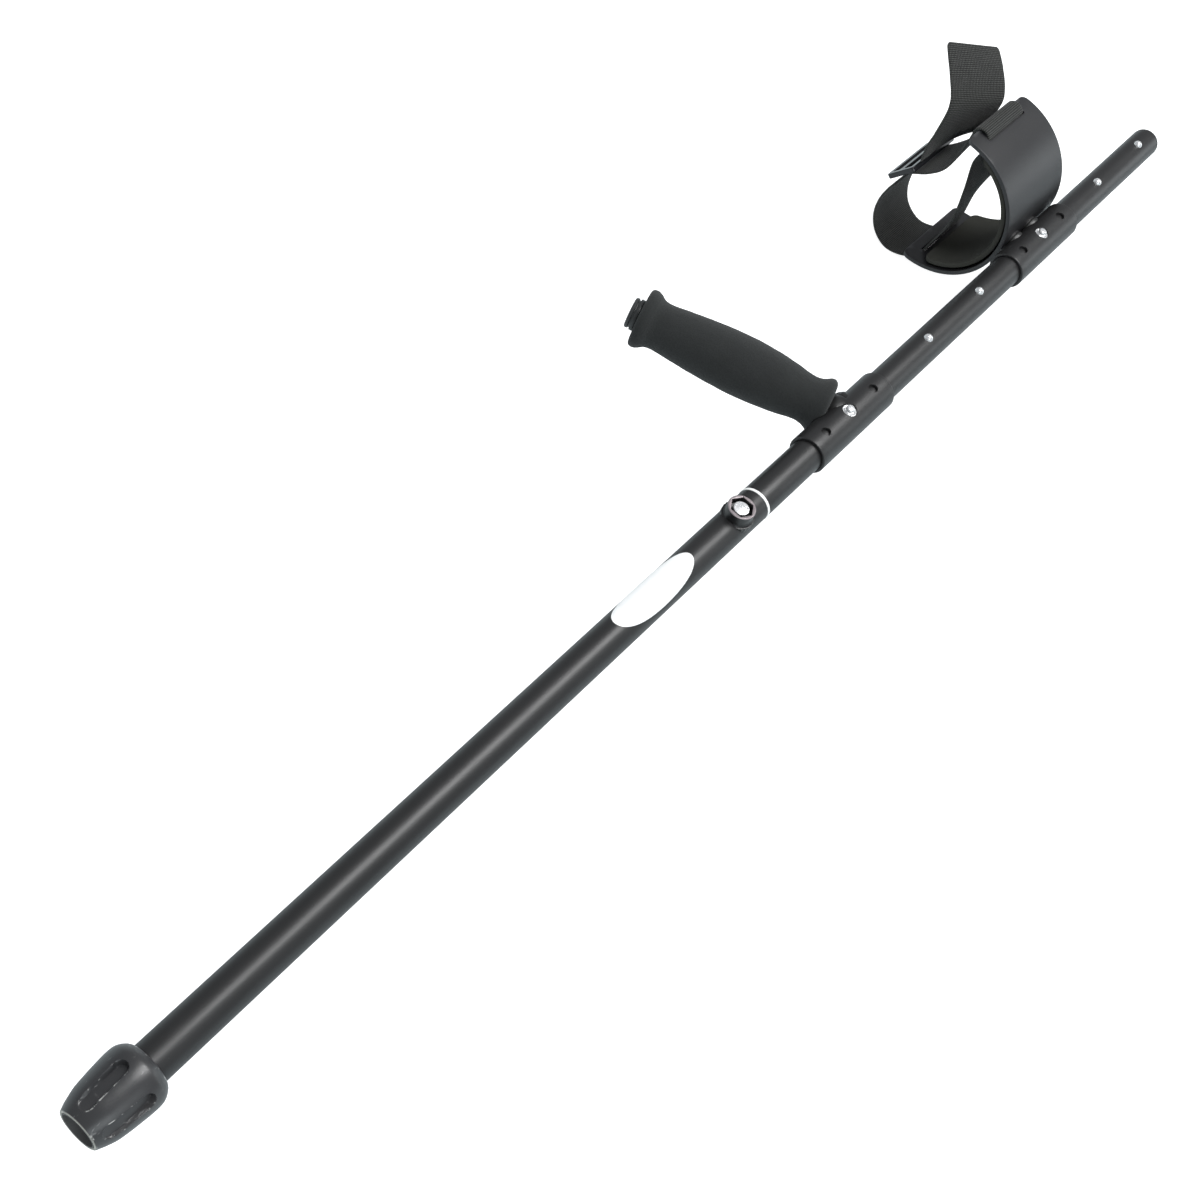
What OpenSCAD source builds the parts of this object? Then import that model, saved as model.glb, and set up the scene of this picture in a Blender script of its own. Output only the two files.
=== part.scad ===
// Two-piece hand-held shaft with a twist-lock nut, a forward-leaning foam grip and a strapped forearm cuff.
// +X runs along the shaft from the nut's mouth to the cuff end, +Y is the side the grip and cuff stand on,
// +Z is the side of the snap buttons. The origin is the centre of the nut's mouth.

/* [Shaft] */
// Outside diameter of both tubes
tube_d = 22.2; // [21.6:0.1:22.6]
// Wall of both tubes
tube_wall = 1.45; // [1.2:0.05:1.45]
// Overall length from the nut's mouth to the rounded end
shaft_l = 1085; // [1080:1:1120]
// Where the two tubes meet
joint_x = 532; // [520:1:540]
// How far the inner connector tube reaches into each tube
spigot_reach = 70; // [60:1:72]

/* [Twist lock] */
// Length of the fluted nut
nut_l = 41; // [40:1:44]
// Largest diameter of the nut
nut_d = 35; // [35:0.5:38]
// Number of finger flutes around the nut
flutes = 5; // [4:1:6]
// Diameter of the rod that the lock takes
rod_d = 19.05; // [18.8:0.05:19.1]

/* [Handle] */
// Place of the handle's snap button along the shaft
handle_x = 634; // [628:1:645]
// Lean of the grip towards the nut, in degrees
grip_lean = 17.7; // [12:0.1:20]
// Length of the foam grip
grip_l = 135; // [126:1:140]
// Largest diameter of the foam grip
grip_d = 40; // [38:0.5:42]

/* [Forearm cuff] */
// Place of the cuff's snap button along the shaft
cuff_button_x = 896; // [890:1:900]
// Centre of the cuff shell along the shaft
cuff_x = 908; // [905:1:910]
// Length of the cuff shell along the shaft
cuff_l = 81; // [76:1:90]
// Outside radius of the cuff shell
cuff_r = 58.5; // [57:0.5:60]
// Width of the webbing strap
strap_w = 50; // [40:1:50]

/* [Sleeves] */
// Length of each sliding sleeve
sleeve_l = 85; // [84:1:88]
// Distance between the index holes of a sleeve
index_pitch = 28.3; // [28:0.1:28.5]

/* [Hidden] */
$fn = 96;
eps = 0.01;

tube_r = tube_d / 2;
bore_r = tube_r - tube_wall;
gap = 0.1;

// twist lock
collet_lip_x = 14;
collet_r = 13.5;
collet_bore_r = bore_r + 0.4;
collet_x1 = 30;
collet_slit = 1.2;
collet_slit_l = 8;
thread_clear = 0.05;
clamp_x1 = 13;
clamp_taper_x0 = 4;
clamp_taper_x1 = 8.5;
clamp_lip_r = 10.2;
clamp_slit = 1.6;
nut_seat_r = 12.6;
flute_r = 3.4;

// joint between the tubes
ring_w = 2;
catch_x = 509;
catch_r = 3.1;
boss_r = 9.3;
boss_top = 18;
hex_af = 13.6;
hex_floor = 13;
press_cap_r = 6.2;
press_cap_z = 15.6;
spigot_wall = 1.4;
spigot_r = bore_r - gap;

// rounded end
nose = 5;
plug_stem = 12;

// snap buttons
dome_r = 3.2;
dome_h = 2.6;
index_hole_r = dome_r + 0.15;
shoulder_r = 5;
shoulder_top = 12.2;
nipple_r = 3;
nipple_top = 15.3;
flange_r = 4.6;
wide_flange_r = 6;
flange_t = 1.3;
index_x = [735, 805, 987, 1057];

// sleeves
sleeve_in = tube_r + gap;
sleeve_r = sleeve_in + 2.1;

// handle, measured along the post from the shaft's axis
post_r = 9.525;
post_wall = 1.6;
post_foot_x = handle_x + 4.5;
stub_top = 30;
foot_r = 10.6;
boss_h = 17.4;
foam_clear = 0.3;
foam_start = 14.5;
post_top = foam_start + grip_l - 2;

// cuff
cuff_t = 3;
cuff_foot = sleeve_r + 0.7;
cuff_cy = cuff_foot + cuff_r;
cuff_tip = 76;
slot_y = 66.5;
slot_h = 5;
slot_l = strap_w + 3;
saddle_r = 9;
saddle_half = 12;
screw_r = 2;
screw_head_r = 4.6;
screw_head_h = 1.4;
head_lift = 0.25;
pad_t = 3.8;
pad_gap = 0.2;
pad_top = 60;
strap_t = 1.6;
buckle_y = 109.5;
buckle_z = -8;
buckle_tilt = 25;
buckle_l = 60;
buckle_w = 30;
buckle_bar = 3.5;

// --- small helpers ---

// How high a pin's flange stands when it rests against the inside of a bore
function flange_height(bore, flange) = sqrt(pow(bore, 2) - pow(flange, 2)) - 0.05;

// A cylinder along +X from x0 to x1
module bar_x(r, x0, x1) {
  translate([x0, 0, 0]) rotate([0, 90, 0]) cylinder(r = r, h = x1 - x0);
}

// A tube along +X from x0 to x1
module tube_x(r, ri, x0, x1) {
  difference() {
    bar_x(r, x0, x1);
    bar_x(ri, x0 - 1, x1 + 1);
  }
}

// A radial hole through the +Z wall at x
module button_hole(x, r) {
  translate([x, 0, 0]) cylinder(r = r, h = 30);
}

// A profile of [radius, x] points revolved about the shaft's axis
module revolve_x(profile) {
  rotate([0, 90, 0]) rotate_extrude() polygon(profile);
}

// The post's own frame: z runs outwards along the leaning post from the shaft's axis
module on_post() {
  translate([post_foot_x, 0, 0]) rotate([0, 0, grip_lean]) rotate([-90, 0, 0]) children();
}

// --- webbing: a flat band swept along a smooth curve in the Y-Z plane ---

function spline(p, i, t) =
  let (
    a = p[max(i - 1, 0)],
    b = p[i],
    c = p[i + 1],
    d = p[min(i + 2, len(p) - 1)]
  )
  0.5 * (2 * b + (c - a) * t + (2 * a - 5 * b + 4 * c - d) * t * t + (3 * b - a - 3 * c + d) * t * t * t);

// Each station is [y, z, tilt of the band in degrees]
function stations(p, steps) = [
  for (i = [0 : len(p) - 2]) for (k = [0 : steps - 1]) spline(p, i, k / steps),
  p[len(p) - 1]
];

function unit(v) = v / norm(v);

function band_corners(s, i, x) =
  let (
    a = s[max(i - 1, 0)],
    b = s[min(i + 1, len(s) - 1)],
    along = unit([0, b[0] - a[0], b[1] - a[1]]),
    tilt = s[i][2],
    across = [cos(tilt), along[2] * sin(tilt), -along[1] * sin(tilt)],
    up = cross(across, along),
    mid = [x, s[i][0], s[i][1]]
  )
  [for (q = [[-1, -1], [1, -1], [1, 1], [-1, 1]]) mid + across * q[0] * strap_w / 2 + up * q[1] * strap_t / 2];

module band(path, steps, x = cuff_x) {
  s = stations(path, steps);
  n = len(s);
  polyhedron(
    points = [for (i = [0 : n - 1]) each band_corners(s, i, x)],
    faces = [
      [3, 2, 1, 0],
      for (i = [0 : n - 2]) for (k = [0 : 3]) each [
        [i * 4 + k, i * 4 + (k + 1) % 4, i * 4 + 4 + (k + 1) % 4],
        [i * 4 + k, i * 4 + 4 + (k + 1) % 4, i * 4 + 4 + k],
      ],
      [n * 4 - 4, n * 4 - 3, n * 4 - 2, n * 4 - 1],
    ],
    convexity = 8
  );
}

// --- lower section ---

module lower_tube() {
  color("#202123") difference() {
    tube_x(tube_r, bore_r, collet_lip_x, joint_x - ring_w / 2);
    button_hole(catch_x, catch_r + 0.15);
  }
}

// Threaded sleeve on the tube's end: its inner skirt is split into fingers that the clamp ring squeezes
module collet() {
  color("#2a2a2c") difference() {
    union() {
      tube_x(collet_r, tube_r, collet_lip_x, collet_x1);
      tube_x(collet_r, collet_bore_r, clamp_x1 + gap, collet_lip_x);
    }
    for (a = [0 : 90 : 270]) rotate([a, 0, 0]) translate([clamp_x1, -collet_slit / 2, 0])
      cube([collet_slit_l, collet_slit, nut_d]);
  }
}

// Split ring that the nut pushes against the rod
module clamp_ring() {
  color("#d8d8d4") difference() {
    revolve_x([[rod_d / 2 + gap, 0], [clamp_lip_r, 0], [clamp_lip_r, clamp_taper_x0],
      [nut_seat_r - gap, clamp_taper_x1], [nut_seat_r - gap, clamp_x1], [rod_d / 2 + gap, clamp_x1]]);
    translate([-1, -clamp_slit / 2, 0]) cube([clamp_x1 + 2, clamp_slit, nut_d]);
  }
}

// One finger flute: a round-ended groove that gets deeper towards the mouth
module nut_flute() {
  x0 = 10;
  x1 = nut_l - 11;
  rise = 2;
  run = x1 - x0;
  translate([x0, 0, nut_d / 2 - 0.6]) {
    sphere(r = flute_r, $fn = 48);
    rotate([0, atan2(run, rise), 0]) cylinder(r = flute_r, h = norm([run, rise]), $fn = 48);
    translate([run, 0, rise]) sphere(r = flute_r, $fn = 48);
  }
}

module lock_nut() {
  nut_r = nut_d / 2;
  lip_r = 11.9;
  flute_turn = -15;
  color("#2b2c2e") difference() {
    revolve_x([[clamp_lip_r + gap, 0], [lip_r - 0.5, 0], [lip_r, 0.6], [lip_r + 1.8, 5], [nut_r - 2.2, 10],
      [nut_r - 0.9, 20], [nut_r, nut_l - 11], [nut_r, nut_l - 5], [nut_r - 1, nut_l - 2], [nut_r - 3, nut_l],
      [collet_r + thread_clear, nut_l],
      [collet_r + thread_clear, clamp_x1], [nut_seat_r, clamp_x1], [nut_seat_r, clamp_taper_x1],
      [clamp_lip_r + gap, clamp_taper_x0]]);
    for (k = [0 : flutes - 1]) rotate([flute_turn + k * 360 / flutes, 0, 0]) nut_flute();
  }
}

// Blank oval sticker wrapped on the tube
module label() {
  label_x = 425.5;
  label_l = 73;
  label_w = 21;
  label_turn = 9;
  color("white") intersection() {
    tube_x(tube_r + 0.25, tube_r + 0.02, label_x - label_l, label_x + label_l);
    rotate([-label_turn, 0, 0]) translate([label_x, 0, 0]) scale([label_l / label_w, 1, 1]) cylinder(d = label_w, h = 20);
  }
}

// Round boss with a hexagonal pocket for the joint's push button
module joint_boss() {
  edge = 1;
  weld = 3.5;
  half = boss_r + 2 * weld;
  color("#1d1e20") difference() {
    union() {
      translate([catch_x, 0, 0]) cylinder(r = boss_r, h = boss_top - edge);
      translate([catch_x, 0, boss_top - edge]) cylinder(r1 = boss_r, r2 = boss_r - edge, h = edge);
      translate([catch_x, 0, 0]) cylinder(r1 = boss_r + weld, r2 = boss_r, h = tube_r + 0.4);
    }
    bar_x(tube_r, catch_x - half, catch_x + half);
    translate([catch_x - half, -half, -2 * half]) cube(2 * half);
    translate([catch_x, 0, hex_floor]) cylinder(d = hex_af / cos(30), h = 10, $fn = 6);
    button_hole(catch_x, catch_r + 0.15);
  }
}

module joint_button() {
  color("#e4e6e8") translate([catch_x, 0, 0]) {
    translate([0, 0, tube_r + 0.05]) cylinder(r = catch_r, h = press_cap_z - tube_r);
    translate([0, 0, press_cap_z]) cylinder(r = press_cap_r, h = 1);
    translate([0, 0, press_cap_z + 1]) cylinder(r1 = press_cap_r, r2 = press_cap_r - 0.5, h = 0.5);
  }
}

// --- upper section ---

// Pin that stands in the connector tube and locks the two tubes together
module joint_catch() {
  flange_top = flange_height(spigot_r - spigot_wall, flange_r);
  color("#c9ccd0") translate([catch_x, 0, flange_top - flange_t]) {
    cylinder(r = catch_r, h = tube_r - flange_top + flange_t - gap);
    cylinder(r = flange_r, h = flange_t);
  }
}

module joint_spigot() {
  color("#9da1a6") difference() {
    tube_x(spigot_r, spigot_r - spigot_wall, joint_x - spigot_reach, joint_x + spigot_reach);
    button_hole(catch_x, catch_r + 0.15);
  }
}

module joint_ring() {
  color("#f2f2ee") tube_x(tube_r + 0.25, spigot_r + 0.02, joint_x - ring_w / 2 + 0.02, joint_x + ring_w / 2);
}

module upper_tube() {
  color("#202123") difference() {
    tube_x(tube_r, bore_r, joint_x + ring_w / 2, shaft_l - nose);
    for (x = index_x) button_hole(x, index_hole_r);
    button_hole(handle_x, shoulder_r + 0.1);
    button_hole(cuff_button_x, shoulder_r + 0.1);
  }
}

// Rounded plug in the far end, with a stem that grips the bore
module end_plug() {
  color("#17181a") union() {
    bar_x(bore_r, shaft_l - nose - plug_stem, shaft_l - nose + eps);
    translate([shaft_l - nose, 0, 0]) rotate([0, 90, 0]) rotate_extrude() union() {
      square([tube_r - nose, nose]);
      intersection() {
        translate([tube_r - nose, 0]) circle(r = nose);
        square([tube_r, nose]);
      }
    }
  }
}

// Bent leaf inside the tube that holds one button out, with its free arm under the button at the given height.
// Its bend points towards the nut.
module leaf(x, arm_z) {
  leaf_w = 5;
  leaf_t = 0.6;
  bend_x = 26;
  foot_x = 10;
  arm_x = 4;
  low_z = -7.4;
  translate([x, 0, 0]) mirror([1, 0, 0]) rotate([90, 0, 0]) linear_extrude(leaf_w, center = true) union() {
    translate([-arm_x, arm_z - leaf_t]) square([2 * arm_x, leaf_t]);
    polygon([[arm_x, arm_z], [bend_x, low_z + leaf_t], [bend_x, low_z], [arm_x, arm_z - leaf_t]]);
    translate([-foot_x, low_z]) square([bend_x + foot_x, leaf_t]);
  }
}

module snap_springs() {
  arm_small = 6.9;
  arm_large = 6.1;
  arm_joint = 4.9;
  color("#b9bdc2") {
    for (x = index_x) leaf(x, arm_small);
    leaf(handle_x, arm_large);
    leaf(cuff_button_x, arm_large);
    leaf(catch_x, arm_joint);
  }
}

// Domed pin with a flange that keeps it inside the tube
module index_button(x) {
  flange_top = flange_height(bore_r, flange_r);
  top = tube_r + dome_h;
  color("#dfe2e5") translate([x, 0, 0]) rotate_extrude() union() {
    translate([0, flange_top - flange_t]) square([flange_r, flange_t]);
    translate([0, flange_top - flange_t]) square([dome_r, top - dome_r - flange_top + flange_t + eps]);
    intersection() {
      translate([0, top - dome_r]) circle(r = dome_r);
      translate([0, top - dome_r]) square([dome_r, dome_r]);
    }
  }
}

// Stepped pin: the wide shoulder fills the sleeve's middle hole, the nipple also fits its outer holes
module sleeve_button(x) {
  flange_top = flange_height(bore_r, wide_flange_r);
  edge = 1;
  color("#e4e6e8") translate([x, 0, 0]) rotate_extrude() union() {
    translate([0, flange_top - flange_t]) square([wide_flange_r, flange_t]);
    translate([0, flange_top - flange_t]) square([shoulder_r, shoulder_top - flange_top + flange_t]);
    translate([0, flange_top]) square([nipple_r, nipple_top - edge - flange_top]);
    translate([0, flange_top]) square([nipple_r - edge, nipple_top - flange_top]);
    translate([nipple_r - edge, nipple_top - edge]) intersection() {
      circle(r = edge);
      square(edge);
    }
  }
}

// --- sleeves ---

// A sleeve with three holes: the middle one takes the button's shoulder
module sliding_sleeve(mid_x) {
  difference() {
    tube_x(sleeve_r, sleeve_in, mid_x - sleeve_l / 2, mid_x + sleeve_l / 2);
    button_hole(mid_x, shoulder_r + 0.15);
    for (side = [-1, 1]) button_hole(mid_x + side * index_pitch, nipple_r + 0.3);
  }
}

module handle_sleeve() {
  color("#242527") sliding_sleeve(handle_x);
}

module cuff_sleeve() {
  color("#242527") sliding_sleeve(cuff_button_x);
}

// --- handle ---

// The weld's cone behind the post's foot, grown by the given clearance
module foot_cone(clear) {
  behind = 4;
  wide = 12;
  narrow = 7;
  tall = 17;
  translate([post_foot_x + behind, 0, 0]) rotate([-90, 0, 0])
    cylinder(r1 = wide + clear, r2 = narrow + clear, h = tall + clear);
}

// Foot welded to the sleeve, with a stub that the post slides onto
module handle_boss() {
  color("#1d1e20") difference() {
    union() {
      on_post() cylinder(r = foot_r, h = boss_h);
      on_post() cylinder(r = post_r - post_wall, h = stub_top);
      foot_cone(0);
    }
    bar_x(sleeve_r, post_foot_x - 40, post_foot_x + 40);
    translate([post_foot_x - 40, -40, -40]) cube([80, 40, 80]);
  }
}

module handle_post() {
  color("#2d2e30") on_post() translate([0, 0, boss_h]) difference() {
    cylinder(r = post_r, h = post_top - boss_h);
    translate([0, 0, -1]) cylinder(r = post_r - post_wall, h = post_top);
  }
}

// Foam sleeve: flared lips at both ends and a fuller middle
module grip_foam() {
  flare = grip_d / 2;
  waist = flare - 4;
  color("#2c2f2f") difference() {
    on_post() translate([0, 0, foam_start]) rotate_extrude() polygon([
      [post_r, 0], [flare - 2, 0], [flare - 0.6, 2.5], [flare - 0.8, 5.5], [waist + 0.6, 11], [waist - 0.2, 17],
      [flare - 2.3, 29], [flare - 1, 41], [flare, 59], [flare - 0.4, 77], [flare - 1.5, 94],
      [waist + 1.2, grip_l - 28], [waist, grip_l - 15], [waist + 0.6, grip_l - 9.5], [flare - 0.4, grip_l - 4],
      [flare, grip_l - 2], [flare - 2, grip_l],
      [post_r, grip_l]]);
    bar_x(sleeve_r + foam_clear, post_foot_x - 60, post_foot_x + 60);
    on_post() cylinder(r = foot_r + foam_clear, h = boss_h + foam_clear);
    foot_cone(foam_clear);
  }
}

// Plug in the post's open end, with two rims
module grip_cap() {
  cap_r = 10.8;
  stem = 12;
  neck = 2.6;
  rim = 2.6;
  groove = 1.2;
  crown = 0.8;
  rim_2 = neck + rim + groove;
  color("#101112") on_post() translate([0, 0, post_top]) union() {
    translate([0, 0, -stem]) cylinder(r = post_r - post_wall, h = stem + eps);
    cylinder(r = post_r, h = rim_2 + eps);
    translate([0, 0, neck]) cylinder(r = cap_r, h = rim);
    translate([0, 0, rim_2]) cylinder(r = cap_r - 0.4, h = rim - crown);
    translate([0, 0, rim_2 + rim - crown]) cylinder(r1 = cap_r - 0.4, r2 = cap_r - 0.4 - crown, h = crown);
  }
}

// --- forearm cuff ---

// The half-round trough of the given radius, with straight sides up to the given height
module trough(r, x0, x1, top) {
  translate([x0, cuff_cy, 0]) rotate([0, 90, 0]) cylinder(r = r, h = x1 - x0, $fn = 128);
  translate([x0, cuff_cy, -r]) cube([x1 - x0, top - cuff_cy, 2 * r]);
}

// Everything above the given height is cut away
module above(y) {
  translate([cuff_x - cuff_l, y, -100]) cube([2 * cuff_l, 100, 200]);
}

module cuff_shell() {
  x0 = cuff_x - cuff_l / 2;
  x1 = cuff_x + cuff_l / 2;
  corner = 6;
  color("#26272a") difference() {
    trough(cuff_r, x0, x1, cuff_tip);
    trough(cuff_r - cuff_t, x0 - 1, x1 + 1, cuff_tip + 1);
    above(cuff_tip);
    for (x = [x0, x1]) translate([x, cuff_tip, 0]) difference() {
      cube([2 * corner, 2 * corner, 4 * cuff_r], center = true);
      for (side = [-1, 1]) translate([side * corner, -corner, 0]) cylinder(r = corner, h = 5 * cuff_r, center = true);
      translate([-cuff_l / 2, -cuff_l / 2 - corner, -3 * cuff_r]) cube([cuff_l, cuff_l / 2, 6 * cuff_r]);
    }
    translate([cuff_x - slot_l / 2, slot_y - slot_h / 2, -2 * cuff_r]) cube([slot_l, slot_h, 4 * cuff_r]);
    for (side = [-1, 1]) translate([cuff_button_x + side * saddle_half, 0, 0]) rotate([-90, 0, 0])
      cylinder(r = screw_r, h = 30);
  }
}

// Foam liner with pockets over the screw heads
module cuff_pad() {
  pad_out = cuff_r - cuff_t - pad_gap;
  x0 = cuff_x - cuff_l / 2 + 2;
  x1 = cuff_x + cuff_l / 2 - 2;
  color("#34352f") difference() {
    trough(pad_out, x0, x1, pad_top);
    trough(pad_out - pad_t, x0 - 1, x1 + 1, pad_top + 1);
    above(pad_top);
    for (side = [-1, 1]) translate([cuff_button_x + side * saddle_half, cuff_foot, 0]) rotate([-90, 0, 0])
      cylinder(r = screw_head_r + 0.4, h = cuff_t + screw_head_h + 0.6);
  }
}

// Two round saddles that fill the wedge between the sleeve and the shell
module cuff_saddles() {
  color("#1d1e20") for (side = [-1, 1]) difference() {
    translate([cuff_button_x + side * saddle_half, 5, 0]) rotate([-90, 0, 0]) cylinder(r = saddle_r, h = 13);
    bar_x(sleeve_r, cuff_button_x - 40, cuff_button_x + 40);
    translate([cuff_x - cuff_l, cuff_cy, 0]) rotate([0, 90, 0]) cylinder(r = cuff_r, h = 2 * cuff_l, $fn = 128);
    translate([cuff_button_x + side * saddle_half, 0, 0]) rotate([-90, 0, 0]) cylinder(r = screw_r, h = 30);
  }
}

// Screws from inside the shell, through the saddles, ending on the sleeve
module cuff_screws() {
  color("#8f9398") for (side = [-1, 1]) translate([cuff_button_x + side * saddle_half, 0, 0]) rotate([-90, 0, 0])
    translate([0, 0, sleeve_r]) {
      cylinder(r = screw_r, h = cuff_foot + cuff_t - sleeve_r + screw_head_h);
      translate([0, 0, cuff_foot + cuff_t - sleeve_r + head_lift]) cylinder(r = screw_head_r, h = screw_head_h);
    }
}

// --- strap ---

// From the buckle's middle bar over the near tip, in through the near slot, across, out through the far slot,
// round the outside and back up to the buckle
module arm_strap() {
  wall = cuff_r - cuff_t / 2;
  out = cuff_r + 2.1;
  color("#191a1b") band([
    [103.4, -5.5, 0], [94, 3.5, 0], [85.5, 16, 0], [80, 36, 0], [78.4, 51, 0], [78.2, wall + 0.4, 0],
    [75, out, 0], [70, out, 0], [66.5, wall, 0], [65, 50, 0], [62.5, 34, 22], [61.5, 8, 30],
    [62.5, -20, 24], [65, -49, 0], [66.5, -wall, 0], [69, -out - 1.5, 0], [79, -71.5, 0], [93, -75.5, 0],
    [106, -69.5, 0], [113.5, -58, 0], [115.8, -44, 0], [113.5, -30, 0], [111.2, -24, 0]], 4);
}

// Loose end beyond the buckle
module strap_tail() {
  color("#191a1b") band([
    [100, 12, 0], [94, 32, -8], [93.5, 48, -18], [97.5, 64, -21], [106, 79, -22], [117, 92, -22]], 5);
}

// Frame with three bars that the webbing threads through
module strap_buckle() {
  frame_end = (buckle_l - strap_w) / 2 - 1;
  color("#121314") translate([cuff_x, buckle_y, buckle_z]) rotate([buckle_tilt, 0, 0]) union() {
    for (side = [-1, 1]) translate([side * (buckle_l - frame_end) / 2, 0, 0])
      cube([frame_end, buckle_bar, buckle_w], center = true);
    for (k = [-1, 0, 1]) translate([0, 0, k * (buckle_w - buckle_bar) / 2]) rotate([0, 90, 0])
      cylinder(d = buckle_bar, h = buckle_l - 1, center = true);
  }
}

lower_tube();
collet();
clamp_ring();
lock_nut();
label();
joint_boss();
joint_button();
joint_catch();
joint_spigot();
joint_ring();
upper_tube();
end_plug();
snap_springs();
index_button(index_x[0]);  // index_button_1
index_button(index_x[1]);  // index_button_2
index_button(index_x[2]);  // index_button_3
index_button(index_x[3]);  // index_button_4
handle_sleeve();
sleeve_button(handle_x);  // handle_button
handle_boss();
handle_post();
grip_foam();
grip_cap();
cuff_sleeve();
sleeve_button(cuff_button_x);  // cuff_button
cuff_saddles();
cuff_screws();
cuff_shell();
cuff_pad();
arm_strap();
strap_buckle();
strap_tail();
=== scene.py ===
"""Looks of the two-piece shaft: finished meshes, materials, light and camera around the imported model.

Lengths are in metres. +X runs along the shaft from the nut, +Y is the side of the grip and cuff, and +Z is
the side of the buttons.
"""

import math

import bmesh
import bpy
import numpy as np
from mathutils import Matrix, Vector, geometry, noise

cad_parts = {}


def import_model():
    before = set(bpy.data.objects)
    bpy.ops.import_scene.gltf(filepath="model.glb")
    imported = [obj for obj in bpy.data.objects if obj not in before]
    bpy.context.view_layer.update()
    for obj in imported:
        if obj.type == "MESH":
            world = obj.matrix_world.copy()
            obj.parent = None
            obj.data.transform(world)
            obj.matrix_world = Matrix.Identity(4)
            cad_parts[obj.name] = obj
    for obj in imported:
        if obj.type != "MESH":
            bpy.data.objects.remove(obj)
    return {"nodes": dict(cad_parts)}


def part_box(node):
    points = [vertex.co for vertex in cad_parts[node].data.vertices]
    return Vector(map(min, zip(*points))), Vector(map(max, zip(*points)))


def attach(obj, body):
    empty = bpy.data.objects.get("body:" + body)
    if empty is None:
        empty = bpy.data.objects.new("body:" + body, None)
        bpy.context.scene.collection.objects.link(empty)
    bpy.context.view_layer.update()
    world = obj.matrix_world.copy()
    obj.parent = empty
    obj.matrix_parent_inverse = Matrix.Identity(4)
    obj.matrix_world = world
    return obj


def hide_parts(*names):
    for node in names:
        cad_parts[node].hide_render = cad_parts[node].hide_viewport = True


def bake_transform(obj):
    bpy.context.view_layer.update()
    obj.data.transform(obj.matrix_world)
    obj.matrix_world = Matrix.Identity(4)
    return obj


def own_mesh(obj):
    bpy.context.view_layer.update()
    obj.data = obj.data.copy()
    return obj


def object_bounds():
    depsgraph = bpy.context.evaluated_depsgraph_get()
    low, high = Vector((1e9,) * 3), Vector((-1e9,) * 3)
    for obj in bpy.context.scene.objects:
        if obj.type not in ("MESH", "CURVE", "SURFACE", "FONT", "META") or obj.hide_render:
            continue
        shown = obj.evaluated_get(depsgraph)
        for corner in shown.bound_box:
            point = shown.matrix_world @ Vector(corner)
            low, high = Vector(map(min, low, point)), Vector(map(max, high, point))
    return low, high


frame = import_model()
cad_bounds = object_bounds()

MM = 0.001


def size(node):
    """Lowest corner, highest corner and centre of a CAD node."""
    low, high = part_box(node)
    return low, high, (low + high) / 2


def axis_point(node):
    """The mean of a CAD node's vertices, which lies on the axis of a revolved part."""
    vertices = frame["nodes"][node].data.vertices
    return sum((v.co for v in vertices), Vector()) / len(vertices)


# --- driving dimensions, read from the CAD nodes ---

TUBE_R = size("upper_tube")[1].y
TUBE_WALL = 1.45 * MM
BORE_R = TUBE_R - TUBE_WALL
SLEEVE_R = size("handle_sleeve")[1].y
SLEEVE_IN = TUBE_R + 0.1 * MM
CATCH_X = size("joint_button")[2].x
INDEX_X = [size(f"index_button_{i}")[2].x for i in (1, 2, 3, 4)]
HANDLE_X = size("handle_button")[2].x
CUFF_BUTTON_X = size("cuff_button")[2].x
INDEX_PITCH = 28.3 * MM
PIN_HOLE_R = 3.3 * MM
FLANGE_T = 1.3 * MM
STRAP_W = 50 * MM
STRAP_T = 1.6 * MM
CUFF_LOW, CUFF_HIGH, CUFF_MID = size("cuff_shell")
CUFF_R = CUFF_HIGH.z
CUFF_AXIS_Y = CUFF_LOW.y + CUFF_R
CUFF_T = 3 * MM


# --- mesh helpers ---

SAME_PLACE = 1e-7


def link(obj):
    """Puts a new object in the scene."""
    bpy.context.scene.collection.objects.link(obj)
    return obj


def smooth(mesh, angle=32, merge=True):
    """Smooth shading with creases kept where faces meet at more than the angle."""
    bm = bmesh.new()
    bm.from_mesh(mesh)
    if merge:
        bmesh.ops.remove_doubles(bm, verts=bm.verts, dist=SAME_PLACE)
    bmesh.ops.recalc_face_normals(bm, faces=bm.faces)
    bm.to_mesh(mesh)
    bm.free()
    mesh.shade_smooth()
    mesh.set_sharp_from_angle(angle=math.radians(angle))


def add_mesh(name, points, faces):
    """A new smooth-shaded object from points and faces."""
    mesh = bpy.data.meshes.new(name)
    mesh.from_pydata([tuple(p) for p in points], [], faces)
    smooth(mesh)
    return link(bpy.data.objects.new(name, mesh))


def bake(obj, angle=32):
    """Applies the object's modifiers."""
    graph = bpy.context.evaluated_depsgraph_get()
    mesh = bpy.data.meshes.new_from_object(obj.evaluated_get(graph))
    obj.modifiers.clear()
    obj.data = mesh
    smooth(mesh, angle)
    return obj


def bevel(obj, width, segments=3, angle=40):
    """Rounds the edges where faces meet at more than the angle."""
    mod = obj.modifiers.new("bevel", "BEVEL")
    mod.width = width
    mod.segments = segments
    mod.limit_method = "ANGLE"
    mod.angle_limit = math.radians(angle)
    return bake(obj)


def boolean(obj, other, operation):
    """Cuts or joins another object, which is used up."""
    mod = obj.modifiers.new("boolean", "BOOLEAN")
    mod.operation = operation
    mod.solver = "EXACT"
    mod.object = other
    bake(obj)
    bpy.data.objects.remove(other)
    return obj


def finish(obj, body, material, replaces=(), bend=None):
    """Gives a piece its material, puts it under its body unless bend is given, and hides the CAD nodes it
    stands for.

    bend is (other body, start, end); only whether it is given is used: the piece's transform is then baked
    in, and nothing makes it bend.
    """
    obj.data.materials.clear()
    obj.data.materials.append(material)
    if bend:
        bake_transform(obj)
    else:
        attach(obj, body)
    if replaces:
        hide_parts(*replaces)
    return obj


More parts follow.
